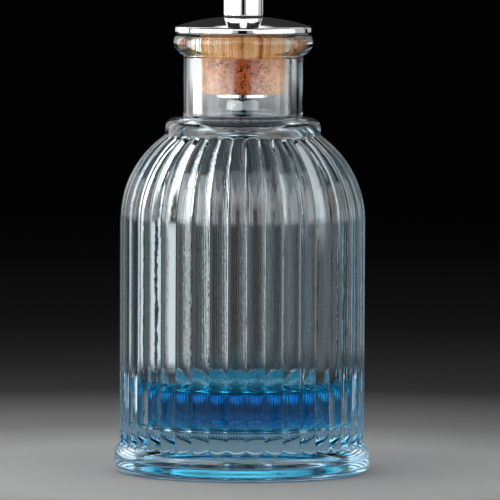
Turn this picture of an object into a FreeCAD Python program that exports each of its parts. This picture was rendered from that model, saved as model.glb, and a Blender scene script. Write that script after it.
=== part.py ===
"""A ribbed glass bitters bottle with a cork dasher stopper, in millimetres.

The bottle stands on the origin with its axis along +Z. Every solid is turned about that axis, apart from the
ribbed wall of the glass and the hexagon of the nut.
"""
import FreeCAD, Part
import math
import os
import Sketcher

# Driving lengths
SIZES = {
    # Base ring of the glass, below the ribs
    "base_overhang": 1.25,
    "base_height": 6.9,
    "base_belly_height": 3.5,
    "base_edge_radius": 2.0,
    "foot_width": 5.0,
    "punt_side_width": 3.2,
    "punt_side_height": 2.4,
    "punt_roof_rise": 0.3,
    # Ribbed body and dome, measured over the crests of the ribs
    "body_diameter": 55.0,
    "body_height": 49.5,
    "rib_depth": 1.0,
    "dome_height": 18.9,
    "dome_step": 0.45,
    # Collar, neck and lip
    "collar_overhang": 4.1,
    "collar_height": 4.2,
    "collar_round": 2.3,
    "neck_wall": 3.65,
    "neck_height": 14.1,
    "neck_fillet": 0.9,
    "lip_overhang": 2.3,
    "lip_height": 4.4,
    "lip_belly_height": 2.9,
    "lip_edge_inset": 0.55,
    # Inside of the glass
    "bore_diameter": 19.5,
    "mouth_chamfer": 0.8,
    "throat_drop": 2.2,
    "throat_round": 3.0,
    "body_wall": 6.0,
    "floor_thickness": 10.2,
    "floor_round": 1.6,
    # Liquid
    "fill_depth": 8.3,
    "fill_clearance": 0.05,
    # Cork
    "cork_length": 13.4,
    "cork_seat_length": 5.4,
    "cork_taper": 0.4,
    "cork_edge": 0.4,
    "cork_clearance": 0.05,
    # Cap disc
    "cap_gap": 0.35,
    "cap_diameter": 30.8,
    "cap_rim_height": 1.6,
    "cap_rim_round": 0.5,
    "cap_crown_rise": 2.1,
    "cap_crown_radius": 45.0,
    "cap_seat_margin": 0.25,
    # Seal under the foot of the spout
    "seal_thickness": 0.35,
    "seal_inset": 0.15,
    # Spout
    "spout_diameter": 8.9,
    "spout_foot_length": 11.0,
    "spout_taper_length": 12.0,
    "nozzle_diameter": 5.2,
    "nozzle_length": 14.0,
    "tip_round": 1.2,
    "orifice_diameter": 1.4,
    "orifice_length": 3.0,
    "drop_bore_diameter": 2.2,
    "shank_diameter": 4.0,
    "shank_end_length": 0.9,
    "shank_end_chamfer": 0.4,
    "passage_clearance": 0.15,
    "thread_clearance": 0.05,
    # Washer and nut under the cork
    "washer_diameter": 11.7,
    "washer_thickness": 1.4,
    "washer_edge": 0.35,
    "washer_flat_diameter": 7.2,
    "nut_across_flats": 7.0,
    "nut_height": 2.4,
    # How far a blank runs past the face that trims it
    "overrun": 1.0,
}

# Counts and angles
RIB_COUNT = 40
DOME_SWEEP = math.radians(53.2)
DOME_SECTIONS = 9
NUT_SIDES = 6
NUT_CHAMFER = math.radians(30.0)
FULL_TURN = 360.0
COUNTERCLOCKWISE = 1
CLOCKWISE = -1

# Share of the dome's sweep that runs on inside the collar
DOME_OVERRUN_SHARE = 0.05

# Two edges this close are the same edge
MATCH = 1e-4


class Size:
    """A length that keeps its value together with the sheet expression that gives it."""

    def __init__(self, value, text):
        self.value = value
        self.text = text

    def __add__(self, other):
        return Size(self.value + other.value, f"({self.text} + {other.text})")

    def __sub__(self, other):
        return Size(self.value - other.value, f"({self.text} - {other.text})")

    def __mul__(self, number):
        return Size(self.value * number, f"({self.text} * {number})")

    def __truediv__(self, number):
        return Size(self.value / number, f"({self.text} / {number})")


def make_sheet(document):
    """Put the driving lengths in a sheet, and return each of them by name."""
    sheet = document.addObject("Spreadsheet::Sheet", "sizes")
    for row, (alias, length) in enumerate(SIZES.items(), start=1):
        sheet.set(f"A{row}", alias.replace("_", " "))
        sheet.set(f"B{row}", str(length))
        sheet.setAlias(f"B{row}", alias)
    document.recompute()
    return {alias: Size(float(sheet.get(alias)), f"sizes.{alias}") for alias in SIZES}


doc = FreeCAD.newDocument("bitters_bottle")
size = make_sheet(doc)
ZERO = Size(0.0, "0")


def arc_radius(reach, rise):
    """Radius of the arc that leaves square to its reach and covers both the reach and the rise."""
    value = (reach.value ** 2 + rise.value ** 2) / (2 * reach.value)
    return Size(value, f"(({reach.text} ^ 2 + {rise.text} ^ 2) / (2 * {reach.text}))")


def line_to(x, z):
    """A corner that a straight edge arrives at."""
    return x, z, None, None


def arc_to(x, z, radius, turn):
    """A corner that an arc of less than half a circle arrives at."""
    return x, z, radius, turn


def edge_between(start, end):
    """The sketch edge that arrives at a corner, with the numbers of its two ends in travel order."""
    first = FreeCAD.Vector(start[0].value, start[1].value, 0)
    last = FreeCAD.Vector(end[0].value, end[1].value, 0)
    radius, turn = end[2], end[3]
    if radius is None:
        return Part.LineSegment(first, last), (1, 2)
    chord = last - first
    to_left = FreeCAD.Vector(-chord.y, chord.x, 0).normalize()
    height = math.sqrt(max(radius.value ** 2 - (chord.Length / 2) ** 2, 0))
    centre = (first + last) / 2 + to_left * (turn * height)
    circle = Part.Circle(centre, FreeCAD.Vector(0, 0, 1), radius.value)
    angles = [math.atan2(point.y - centre.y, point.x - centre.x) for point in (first, last)]
    if turn == CLOCKWISE:
        return Part.ArcOfCircle(circle, angles[1], angles[0]), (2, 1)
    return Part.ArcOfCircle(circle, angles[0], angles[1]), (1, 2)


def place_on(axis, kind, edge, end, length):
    """The constraint that holds one end of an edge on an axis, or at a length from the origin."""
    if length is ZERO:
        return Sketcher.Constraint("PointOnObject", edge, end, axis), None
    return Sketcher.Constraint(kind, -1, 1, edge, end, length.value), length.text


def add_outline(sketch, corners):
    """Draw a closed outline whose corners and radii are all bound to the sheet."""
    edges = [edge_between(corners[i - 1], corners[i]) for i in range(len(corners))]
    numbers = sketch.addGeometry([geometry for geometry, _ in edges], False)
    held = []
    for i, (x, z, radius, _) in enumerate(corners):
        number, end = numbers[i], edges[i][1][1]
        following = (i + 1) % len(corners)
        join = Sketcher.Constraint("Coincident", number, end, numbers[following], edges[following][1][0])
        held.append((join, None))
        held.append(place_on(-2, "DistanceX", number, end, x))
        held.append(place_on(-1, "DistanceY", number, end, z))
        if radius is not None:
            held.append((Sketcher.Constraint("Radius", number, radius.value), radius.text))
    places = sketch.addConstraint([constraint for constraint, _ in held])
    for place, (_, text) in zip(places, held):
        if text is not None:
            sketch.setExpression(f"Constraints[{place}]", text)


def sketch_on(body, role, name):
    """An empty sketch on one of the body's own origin planes."""
    sketch = body.newObject("Sketcher::SketchObject", name)
    plane = [feature for feature in body.Origin.OriginFeatures if feature.Role == role][0]
    sketch.AttachmentSupport = [(plane, "")]
    sketch.MapMode = "FlatFace"
    return sketch


def turned_body(name, corners):
    """A body made by turning one outline about the bottle's axis."""
    body = doc.addObject("PartDesign::Body", name)
    sketch = sketch_on(body, "XZ_Plane", f"{name}_outline")
    add_outline(sketch, corners)
    turning = body.newObject("PartDesign::Revolution", f"{name}_turning")
    turning.Profile = sketch
    turning.ReferenceAxis = (sketch, ["V_Axis"])
    turning.Angle = FULL_TURN
    doc.recompute()
    return body


def round_edge(body, at_radius, at_height, fillet_radius):
    """Round the circular edges of a turned body that lie at one radius and height."""
    base = body.Tip
    names = []
    for number, edge in enumerate(base.Shape.Edges, start=1):
        if not isinstance(edge.Curve, Part.Circle):
            continue
        off_radius = abs(edge.Curve.Radius - at_radius.value)
        off_height = abs(edge.Curve.Center.z - at_height.value)
        if max(off_radius, off_height) < MATCH:
            names.append(f"Edge{number}")
    fillet = body.newObject("PartDesign::Fillet", f"{body.Name}_round")
    fillet.Base = (base, names)
    fillet.setExpression("Radius", fillet_radius.text)
    doc.recompute()


# Radii and levels of the glass
bore_radius = size["bore_diameter"] / 2
neck_radius = bore_radius + size["neck_wall"]
lip_radius = neck_radius + size["lip_overhang"]
collar_radius = neck_radius + size["collar_overhang"]
dome_top_radius = collar_radius + size["dome_step"]
crest_radius = size["body_diameter"] / 2
base_radius = crest_radius + size["base_overhang"]
base_top_radius = crest_radius - size["rib_depth"] * 2
cavity_radius = crest_radius - size["body_wall"]

shoulder_level = size["base_height"] + size["body_height"]
collar_level = shoulder_level + size["dome_height"]
neck_level = collar_level + size["collar_height"]
lip_level = neck_level + size["neck_height"]
mouth_level = lip_level + size["lip_height"]
floor_level = size["floor_thickness"]
throat_level = neck_level - size["throat_drop"]
fill_level = floor_level + size["fill_depth"]

# Levels of the stopper, from the cap down and from the cap up
cap_level = mouth_level + size["cap_gap"]
cork_end_level = cap_level - size["cork_length"]
cork_seat_level = cap_level - size["cork_seat_length"]
washer_end_level = cork_end_level - size["washer_thickness"]
nut_end_level = washer_end_level - size["nut_height"]
shank_end_level = nut_end_level - size["shank_end_length"]
cap_rim_level = cap_level + size["cap_rim_height"]
seal_level = cap_rim_level + size["cap_crown_rise"]
foot_level = seal_level + size["seal_thickness"]
taper_level = foot_level + size["spout_foot_length"]
nozzle_level = taper_level + size["spout_taper_length"]
tip_level = nozzle_level + size["nozzle_length"]

# Radii of the stopper
shank_radius = size["shank_diameter"] / 2
passage_radius = shank_radius + size["passage_clearance"]
foot_radius = size["spout_diameter"] / 2
nozzle_radius = size["nozzle_diameter"] / 2


def flower(radius, level):
    """The closed outline of the ribs at one level: an arc over each rib, from valley to valley."""
    depth = size["rib_depth"].value * radius / crest_radius.value
    pitch = 2 * math.pi / RIB_COUNT

    def point(distance, angle):
        return FreeCAD.Vector(distance * math.cos(angle), distance * math.sin(angle), level)

    arcs = []
    for rib in range(RIB_COUNT):
        middle = rib * pitch
        before = point(radius - depth, middle - pitch / 2)
        after = point(radius - depth, middle + pitch / 2)
        arcs.append(Part.Arc(before, point(radius, middle), after).toShape())
    return Part.Wire(arcs)


def ribbed_wall():
    """The ribs as one solid: straight up the body, then in over the dome along an elliptic arc."""
    bottom = size["base_belly_height"].value
    shoulder = shoulder_level.value
    crest = crest_radius.value
    straight = Part.makeLoft([flower(crest, bottom), flower(crest, shoulder)], True, True)
    reach = (crest_radius - dome_top_radius).value / (1 - math.cos(DOME_SWEEP))
    rise = size["dome_height"].value / math.sin(DOME_SWEEP)
    sections = []
    for section in range(DOME_SECTIONS):
        angle = DOME_SWEEP * (1 + DOME_OVERRUN_SHARE) * section / (DOME_SECTIONS - 1)
        radius = crest - reach * (1 - math.cos(angle))
        sections.append(flower(radius, shoulder + rise * math.sin(angle)))
    wall = doc.addObject("Part::Feature", "ribbed_wall")
    wall.Shape = straight.fuse(Part.makeLoft(sections, True, False))
    wall.Placement = FreeCAD.Placement()
    return wall


def glass_base():
    """The plain ring that the ribs stand on, over a hollow with a steep side and a nearly flat roof."""
    foot_radius_outside = base_radius - size["base_edge_radius"]
    foot_radius_inside = foot_radius_outside - size["foot_width"]
    roof_radius = foot_radius_inside - size["punt_side_width"]
    roof_edge_level = size["punt_side_height"]
    roof = arc_radius(size["punt_roof_rise"], roof_radius)
    belly = size["base_belly_height"]
    shoulder = arc_radius(base_radius - base_top_radius, size["base_height"] - belly)
    return turned_body("glass_base", [
        line_to(ZERO, roof_edge_level + size["punt_roof_rise"]),
        arc_to(roof_radius, roof_edge_level, roof, CLOCKWISE),
        line_to(foot_radius_inside, ZERO),
        line_to(foot_radius_outside, ZERO),
        arc_to(base_radius, size["base_edge_radius"], size["base_edge_radius"], COUNTERCLOCKWISE),
        line_to(base_radius, belly),
        arc_to(base_top_radius, size["base_height"], shoulder, COUNTERCLOCKWISE),
        line_to(ZERO, size["base_height"]),
    ])


def glass_top():
    """Collar, neck and lip, as one turned blank."""
    bead_level = lip_level + size["lip_belly_height"]
    bead_below = arc_radius(size["lip_overhang"], size["lip_belly_height"])
    bead_above = arc_radius(size["lip_edge_inset"], mouth_level - bead_level)
    collar_round, neck_fillet = size["collar_round"], size["neck_fillet"]
    return turned_body("glass_top", [
        line_to(ZERO, collar_level - size["overrun"]),
        line_to(collar_radius, collar_level - size["overrun"]),
        line_to(collar_radius, neck_level - collar_round),
        arc_to(collar_radius - collar_round, neck_level, collar_round, COUNTERCLOCKWISE),
        line_to(neck_radius + neck_fillet, neck_level),
        arc_to(neck_radius, neck_level + neck_fillet, neck_fillet, CLOCKWISE),
        line_to(neck_radius, lip_level),
        arc_to(lip_radius, bead_level, bead_below, COUNTERCLOCKWISE),
        arc_to(lip_radius - size["lip_edge_inset"], mouth_level, bead_above, COUNTERCLOCKWISE),
        line_to(ZERO, mouth_level),
    ])


def glass_cavity():
    """The space inside the glass: chamber, inner dome, throat and neck bore."""
    dome = arc_radius(cavity_radius - bore_radius, throat_level - shoulder_level)
    chamfer_level = mouth_level - size["mouth_chamfer"]
    mouth_radius = bore_radius + size["mouth_chamfer"]
    cavity = turned_body("glass_cavity", [
        line_to(ZERO, floor_level),
        line_to(cavity_radius, floor_level),
        line_to(cavity_radius, shoulder_level),
        arc_to(bore_radius, throat_level, dome, COUNTERCLOCKWISE),
        line_to(bore_radius, chamfer_level),
        line_to(mouth_radius, mouth_level),
        line_to(mouth_radius, mouth_level + size["overrun"]),
        line_to(ZERO, mouth_level + size["overrun"]),
    ])
    round_edge(cavity, cavity_radius, floor_level, size["floor_round"])
    round_edge(cavity, bore_radius, throat_level, size["throat_round"])
    return cavity


def glass_bottle():
    """The glass: ribs, base and top fused, and the cavity cut out."""
    blank = doc.addObject("Part::MultiFuse", "glass_blank")
    blank.Shapes = [ribbed_wall(), glass_base(), glass_top()]
    bottle = doc.addObject("Part::Cut", "glass_bottle")
    bottle.Base = blank
    bottle.Tool = glass_cavity()
    doc.recompute()
    return bottle


def bitters_fill():
    """The liquid, which lies on the floor of the cavity."""
    radius = cavity_radius - size["fill_clearance"]
    bottom = floor_level + size["fill_clearance"]
    fill = turned_body("bitters_fill", [
        line_to(ZERO, bottom),
        line_to(radius, bottom),
        line_to(radius, fill_level),
        line_to(ZERO, fill_level),
    ])
    round_edge(fill, radius, bottom, size["floor_round"] - size["fill_clearance"])
    return fill


def cork_stopper():
    """The cork: a straight seat in the mouth, a slow taper below it, and a hole for the shank."""
    seat_radius = bore_radius - size["cork_clearance"]
    end_radius = seat_radius - size["cork_taper"]
    edge = size["cork_edge"]
    return turned_body("cork_stopper", [
        line_to(passage_radius, cork_end_level),
        line_to(end_radius - edge, cork_end_level),
        line_to(end_radius, cork_end_level + edge),
        line_to(seat_radius, cork_seat_level),
        line_to(seat_radius, cap_level),
        line_to(passage_radius, cap_level),
    ])


def cap_disc():
    """The metal disc over cork and lip: a thin rim, and a shallow crown up to the seat of the spout."""
    rim_radius = size["cap_diameter"] / 2
    seat_radius = foot_radius + size["cap_seat_margin"]
    cap = turned_body("cap_disc", [
        line_to(passage_radius, cap_level),
        line_to(rim_radius, cap_level),
        line_to(rim_radius, cap_rim_level),
        arc_to(seat_radius, seal_level, size["cap_crown_radius"], COUNTERCLOCKWISE),
        line_to(passage_radius, seal_level),
    ])
    round_edge(cap, rim_radius, cap_level, size["cap_rim_round"])
    round_edge(cap, rim_radius, cap_rim_level, size["cap_rim_round"])
    return cap


def spout_seal():
    """The thin ring between the disc and the foot of the spout."""
    outside = foot_radius - size["seal_inset"]
    return turned_body("spout_seal", [
        line_to(passage_radius, seal_level),
        line_to(outside, seal_level),
        line_to(outside, foot_level),
        line_to(passage_radius, foot_level),
    ])


def dasher_spout():
    """The turned spout: shank, foot, taper in two equal arcs, nozzle and a drop bore right through."""
    bore = size["drop_bore_diameter"] / 2
    orifice = size["orifice_diameter"] / 2
    chamfer = size["shank_end_chamfer"]
    tip_round = size["tip_round"]
    half_step = (foot_radius - nozzle_radius) / 2
    half_length = size["spout_taper_length"] / 2
    taper = arc_radius(half_step, half_length)
    orifice_level = tip_level - size["orifice_length"]
    return turned_body("dasher_spout", [
        line_to(bore, shank_end_level),
        line_to(shank_radius - chamfer, shank_end_level),
        line_to(shank_radius, shank_end_level + chamfer),
        line_to(shank_radius, foot_level),
        line_to(foot_radius, foot_level),
        line_to(foot_radius, taper_level),
        arc_to(foot_radius - half_step, taper_level + half_length, taper, COUNTERCLOCKWISE),
        arc_to(nozzle_radius, nozzle_level, taper, CLOCKWISE),
        line_to(nozzle_radius, tip_level - tip_round),
        arc_to(nozzle_radius - tip_round, tip_level, tip_round, COUNTERCLOCKWISE),
        line_to(orifice, tip_level),
        line_to(orifice, orifice_level),
        line_to(bore, orifice_level - (bore - orifice)),
    ])


def retaining_washer():
    """The domed washer that the cork is clamped on, with its flat face up."""
    outside = size["washer_diameter"] / 2
    flat = size["washer_flat_diameter"] / 2
    edge_level = cork_end_level - size["washer_edge"]
    dome = arc_radius(edge_level - washer_end_level, outside - flat)
    return turned_body("retaining_washer", [
        line_to(passage_radius, washer_end_level),
        line_to(flat, washer_end_level),
        arc_to(outside, edge_level, dome, COUNTERCLOCKWISE),
        line_to(outside, cork_end_level),
        line_to(passage_radius, cork_end_level),
    ])


def hexagon_with_hole(sketch, across_corners, hole_radius):
    """A hexagon with a corner on the sketch's upright axis, and a round hole in its middle."""
    upright = FreeCAD.Vector(0, 0, 1)
    corner = across_corners.value / 2
    points = []
    for side in range(NUT_SIDES):
        angle = math.pi / 2 + side * 2 * math.pi / NUT_SIDES
        points.append(FreeCAD.Vector(corner * math.cos(angle), corner * math.sin(angle), 0))
    sides = [Part.LineSegment(points[side - 1], points[side]) for side in range(NUT_SIDES)]
    numbers = sketch.addGeometry(sides, False)
    hole = sketch.addGeometry(Part.Circle(FreeCAD.Vector(), upright, hole_radius.value), False)
    guide = sketch.addGeometry(Part.Circle(FreeCAD.Vector(), upright, corner), True)
    held = [
        Sketcher.Constraint("Coincident", hole, 3, -1, 1),
        Sketcher.Constraint("Coincident", guide, 3, -1, 1),
        Sketcher.Constraint("PointOnObject", numbers[0], 2, -2),
    ]
    for side in range(NUT_SIDES):
        held.append(Sketcher.Constraint("Coincident", numbers[side - 1], 2, numbers[side], 1))
        held.append(Sketcher.Constraint("PointOnObject", numbers[side], 2, guide))
        if side > 0:
            held.append(Sketcher.Constraint("Equal", numbers[side - 1], numbers[side]))
    sketch.addConstraint(held)
    for circle, radius in ((hole, hole_radius), (guide, across_corners / 2)):
        place = sketch.addConstraint(Sketcher.Constraint("Radius", circle, radius.value))
        sketch.setExpression(f"Constraints[{place}]", radius.text)


def retaining_nut():
    """The hexagon nut on the shank, with its corners turned off at both ends."""
    flats_radius = size["nut_across_flats"] / 2
    corner_radius = flats_radius / math.cos(math.pi / NUT_SIDES)
    body = doc.addObject("PartDesign::Body", "retaining_nut")
    hexagon = sketch_on(body, "XY_Plane", "retaining_nut_hexagon")
    hexagon_with_hole(hexagon, corner_radius * 2, shank_radius + size["thread_clearance"])
    hexagon.setExpression("AttachmentOffset.Base.z", nut_end_level.text)
    pad = body.newObject("PartDesign::Pad", "retaining_nut_pad")
    pad.Profile = hexagon
    pad.setExpression("Length", size["nut_height"].text)
    doc.recompute()
    uncut = pad.Shape.Volume
    outside = corner_radius + size["overrun"]
    drop = (outside - flats_radius) * math.tan(NUT_CHAMFER)
    for end_level, inward in ((nut_end_level, 1), (washer_end_level, -1)):
        sketch = sketch_on(body, "XZ_Plane", "retaining_nut_chamfer")
        add_outline(sketch, [
            line_to(flats_radius, end_level),
            line_to(outside, end_level),
            line_to(outside, end_level + drop * inward),
        ])
        groove = body.newObject("PartDesign::Groove", "retaining_nut_groove")
        groove.Profile = sketch
        groove.ReferenceAxis = (sketch, ["V_Axis"])
        groove.Angle = FULL_TURN
        doc.recompute()
        if groove.Shape.Volume >= uncut:
            raise RuntimeError("a chamfer of the nut cut nothing")
        uncut = groove.Shape.Volume
    return body


def check(nodes):
    """Stop before anything is written if an object failed or a piece is not one sound solid."""
    for thing in doc.Objects:
        if "Invalid" in thing.State or "Error" in thing.State:
            raise RuntimeError(f"{thing.Label} failed: {thing.State}")
    for node in nodes:
        shape = node.Shape
        if shape.isNull() or not shape.isValid() or len(shape.Solids) != 1:
            raise RuntimeError(f"{node.Label} is not one valid solid")


def main():
    nodes = [
        glass_bottle(),
        bitters_fill(),
        cork_stopper(),
        cap_disc(),
        spout_seal(),
        dasher_spout(),
        retaining_washer(),
        retaining_nut(),
    ]
    doc.recompute()
    check(nodes)
    os.makedirs("parts", exist_ok=True)
    for node in nodes:
        node.Shape.exportStep(os.path.join("parts", f"{node.Label}.step"))
        print(f"{node.Label}: {node.Shape.Volume:.1f} mm3")


main()
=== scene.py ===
"""The bitters bottle dressed for its picture: glass, liquid, cork and polished metal, in metres."""
import math
import random
import bmesh
import bpy
import numpy as np
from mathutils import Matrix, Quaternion, Vector


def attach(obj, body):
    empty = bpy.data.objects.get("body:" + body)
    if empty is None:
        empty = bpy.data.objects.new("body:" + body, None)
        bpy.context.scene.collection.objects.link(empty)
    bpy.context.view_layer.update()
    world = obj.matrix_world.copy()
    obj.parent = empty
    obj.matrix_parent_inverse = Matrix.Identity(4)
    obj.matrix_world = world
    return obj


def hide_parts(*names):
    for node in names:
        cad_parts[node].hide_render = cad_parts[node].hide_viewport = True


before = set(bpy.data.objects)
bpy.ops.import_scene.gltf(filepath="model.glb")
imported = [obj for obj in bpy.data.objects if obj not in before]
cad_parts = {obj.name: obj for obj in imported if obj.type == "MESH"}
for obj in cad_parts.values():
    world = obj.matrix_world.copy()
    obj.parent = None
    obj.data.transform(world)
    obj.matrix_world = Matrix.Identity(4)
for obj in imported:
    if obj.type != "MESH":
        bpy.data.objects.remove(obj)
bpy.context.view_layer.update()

MM = 0.001
COUNTERCLOCKWISE = 1
CLOCKWISE = -1
FULL_TURN = 2 * math.pi


def grey(value):
    """A neutral colour."""
    return value, value, value, 1.0


# Glass: levels and radii of the outside
BASE_RADIUS = 28.75 * MM
BASE_TOP_RADIUS = 25.5 * MM
BASE_HEIGHT = 6.9 * MM
BASE_BELLY_LEVEL = 3.5 * MM
BASE_EDGE_RADIUS = 2.0 * MM
FOOT_WIDTH = 5.0 * MM
PUNT_DEPTH = 2.7 * MM
PUNT_SIDE_HEIGHT = 2.4 * MM
PUNT_SIDE_WIDTH = 3.2 * MM
CREST_RADIUS = 27.5 * MM
RIB_DEPTH = 1.0 * MM
RIB_COUNT = 40
SHOULDER_LEVEL = 56.4 * MM
DOME_HEIGHT = 18.9 * MM
DOME_TOP_RADIUS = 17.95 * MM
DOME_SWEEP = math.radians(53.2)
COLLAR_RADIUS = 17.5 * MM
COLLAR_ROUND = 2.3 * MM
NECK_LEVEL = 79.5 * MM
NECK_RADIUS = 13.4 * MM
NECK_FILLET = 0.9 * MM
LIP_LEVEL = 93.6 * MM
LIP_RADIUS = 15.7 * MM
LIP_BELLY_HEIGHT = 2.9 * MM
LIP_EDGE_INSET = 0.55 * MM
MOUTH_LEVEL = 98.0 * MM

# Glass: inside
BORE_RADIUS = 9.75 * MM
MOUTH_ROUND = 0.8 * MM
THROAT_LEVEL = 77.3 * MM
THROAT_BLEND = 3.0 * MM
CAVITY_RADIUS = 21.5 * MM
FLOOR_LEVEL = 10.2 * MM
FLOOR_ROUND = 1.6 * MM

# Soft corners of fire-polished glass
SCALLOP_BLEND = 0.45 * MM
COLLAR_BLEND = 0.35 * MM
LIP_BLEND = 0.7 * MM
FOOT_BLEND = 0.5 * MM

# Liquid
FILL_LEVEL = 18.5 * MM
MENISCUS_HEIGHT = 2.6 * MM
MENISCUS_WIDTH = 4.5 * MM
MENISCUS_LEAN_SHARE = 1 / 6
WET_OVERLAP = 0.06 * MM

# Stopper levels, from the lower end of the spout's shank up to its tip
SHANK_END_LEVEL = 80.25 * MM
NUT_END_LEVEL = 81.15 * MM
WASHER_END_LEVEL = 83.55 * MM
CORK_END_LEVEL = 84.95 * MM
CORK_SEAT_LEVEL = 92.95 * MM
CAP_LEVEL = 98.35 * MM
CAP_RIM_LEVEL = 99.95 * MM
SEAL_LEVEL = 102.05 * MM
FOOT_LEVEL = 102.4 * MM
TAPER_LEVEL = 113.4 * MM
NOZZLE_LEVEL = 125.4 * MM
TIP_LEVEL = 139.4 * MM

# Stopper radii and small sizes
PASSAGE_RADIUS = 2.15 * MM
CORK_SEAT_RADIUS = 9.70 * MM
CORK_END_RADIUS = 9.3 * MM
CORK_EDGE = 0.5 * MM
CAP_RADIUS = 15.4 * MM
CAP_SEAT_RADIUS = 4.7 * MM
CAP_RIM_ROUND = 0.5 * MM
CAP_CROWN_RADIUS = 45.0 * MM
SPOUT_RADIUS = 4.45 * MM
SPOUT_EDGE = 0.25 * MM
NOZZLE_RADIUS = 2.6 * MM
TIP_ROUND = 1.2 * MM
ORIFICE_RADIUS = 0.7 * MM
ORIFICE_LENGTH = 3.0 * MM
DROP_BORE_RADIUS = 1.1 * MM
SHANK_RADIUS = 2.0 * MM
SHANK_END_CHAMFER = 0.4 * MM
THREAD_PITCH = 0.7 * MM
THREAD_DEPTH = 0.3 * MM
SEAL_RADIUS = 4.3 * MM
SEAL_BULGE = 0.08 * MM
WASHER_RADIUS = 5.85 * MM
WASHER_FLAT_RADIUS = 3.6 * MM
WASHER_EDGE = 0.75 * MM
NUT_FLATS_RADIUS = 3.5 * MM
NUT_HOLE_RADIUS = 2.05 * MM
NUT_CHAMFER = math.radians(30.0)
NUT_SIDES = 6

# Cork: its pressed top, and the pits in its side with their least and greatest sizes
PRESS_LEVEL = 94.4 * MM
PRESS_LENGTH = 0.15 * MM
PRESS_GRAIN = 0.03 * MM
CORK_SEED = 7
PIT_COUNT = 230
PIT_HALF_WIDTHS = 0.07 * MM, 0.20 * MM
PIT_HALF_HEIGHTS = 0.07 * MM, 0.28 * MM
PIT_DEPTHS = 0.10 * MM, 0.45 * MM
FRONT = -math.pi / 2
FRONT_PIT_SHARE = 0.4
FRONT_PIT_SPREAD = math.radians(18.0)

# Mesh fineness
COLUMNS_PER_RIB = 14
GLASS_COLUMNS = RIB_COUNT * COLUMNS_PER_RIB
METAL_COLUMNS = 192
CORK_COLUMNS = 480
BASE_RING_STEPS = 10
DOME_STEPS = 28
THREAD_STEPS_PER_TURN = 12
SHARP_ANGLE = math.radians(32.0)

# Steps of an arc that give way to a soft corner, at its start and at its end
SOFTENED_START_STEPS = 3
SOFTENED_END_STEPS = 2

# Finish of glass and liquid
GLASS_IOR = 1.52
GLASS_TINT = (0.45, 0.80, 0.95, 1.0)
GLASS_TINT_DENSITY = 28.0
RIPPLE_SCALE = 90.0
MOULD_LINE_SCALE = 42.0
MOULD_LINE_RISE = 6.0
MOULD_LINE_SHARE = 0.3
GLASS_BUMP_SHARE = 0.2
GLASS_BUMP_HEIGHT = 0.2 * MM
LIQUID_IOR = 1.36
LIQUID_TINT = (0.0, 0.80, 0.92, 1.0)
LIQUID_TINT_DENSITY = 230.0
# Painted light: the film up the wall is tinted cyan, standing in for the cyan light that reaches the
# liquid's edge through its bulk.
FILM_PAINTED_LIGHT_STOPS = [(0.02, grey(1.0)), (0.12, (0.10, 0.66, 0.95, 1.0))]

# Finish of the cork
CELL_SCALE = 900.0
CLOUD_SCALE = 220.0
RAGGED_SCALE = 600.0
CRUMB_SCALE = 2100.0
STREAK_SCALE = 1000.0
STREAK_STRETCH = (1.0, 1.0, 0.04)
NOISE_MIDDLE = 0.5
BARK_STOPS = [
    (0.30, (0.66, 0.19, 0.04, 1.0)),
    (0.46, (0.94, 0.36, 0.095, 1.0)),
    (0.68, (1.0, 0.51, 0.19, 1.0)),
]
VEIN_STOPS = [(0.52, grey(0.0)), (0.66, grey(0.7))]
VEIN_COLOUR = (0.56, 0.17, 0.045, 1.0)
STAIN_WANDER = 11.0 * MM
STAIN_START = 8.4 * MM
STAIN_FADE = 3.0 * MM
STAIN_STOPS = [(0.0, grey(0.85)), (0.8, grey(0.0))]
STAIN_COLOUR = (0.62, 0.10, 0.010, 1.0)
PIT_STOPS = [(0.06, grey(0.0)), (0.40, grey(0.95))]
PIT_COLOUR = (0.11, 0.028, 0.012, 1.0)
CRUMB_STOPS = [(0.58, grey(0.0)), (0.64, grey(0.85))]
CRUMB_CROWDING_STOPS = [(0.2, grey(1.0)), (0.75, grey(0.25))]
CRUMB_COLOUR = (0.16, 0.035, 0.012, 1.0)
SEAT_STOPS = [
    (0.38, (0.82, 0.25, 0.04, 1.0)),
    (0.48, (1.0, 0.42, 0.105, 1.0)),
    (0.62, (1.0, 0.56, 0.21, 1.0)),
]
SEAT_FADE = 0.5 * MM
SEAT_FADE_STOPS = [(0.0, grey(0.0)), (1.0, grey(0.9))]
MARK_STOPS = [(0.3, grey(0.85)), (1.0, grey(0.0))]
CORK_ROUGHNESS = 0.75
CORK_SPECULAR = 0.3
CORK_BUMP_SHARE = 0.5
CORK_BUMP_HEIGHT = 0.25 * MM

# Upright marks in front on the cork's seat: place across, half width and colour
CORK_MARKS = [
    (0.2 * MM, 0.60 * MM, (0.58, 0.17, 0.04, 1.0)),
    (3.9 * MM, 0.55 * MM, (0.52, 0.06, 0.012, 1.0)),
]

# Finish of metal, rubber and floor; the floor's stops are in metres from the bottle's axis and paint a
# pool of light round it that fades to dark
SMUDGE_SCALE = 120.0
CHROME_COLOUR = (0.86, 0.86, 0.87, 1.0)
CHROME_ROUGHNESS_STOPS = [(0.35, grey(0.04)), (0.75, grey(0.10))]
STEEL_MARK_SCALE = 900.0
# Painted shade: the steel's colour is darker than bare steel, standing in for the dark surroundings it
# mirrors.
SHADED_STEEL_COLOUR = (0.24, 0.24, 0.25, 1.0)
STEEL_ROUGHNESS_STOPS = [(0.3, grey(0.25)), (0.8, grey(0.45))]
RUBBER_GRAIN_SCALE = 2500.0
RUBBER_STOPS = [(0.3, grey(0.012)), (0.8, grey(0.03))]
RUBBER_ROUGHNESS = 0.6
FLOOR_PAINTED_POOL_STOPS = [(0.07, grey(0.42)), (0.12, grey(0.22)), (0.22, grey(0.05)), (0.45, grey(0.02))]
FLOOR_ROUGHNESS = 0.8

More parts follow.
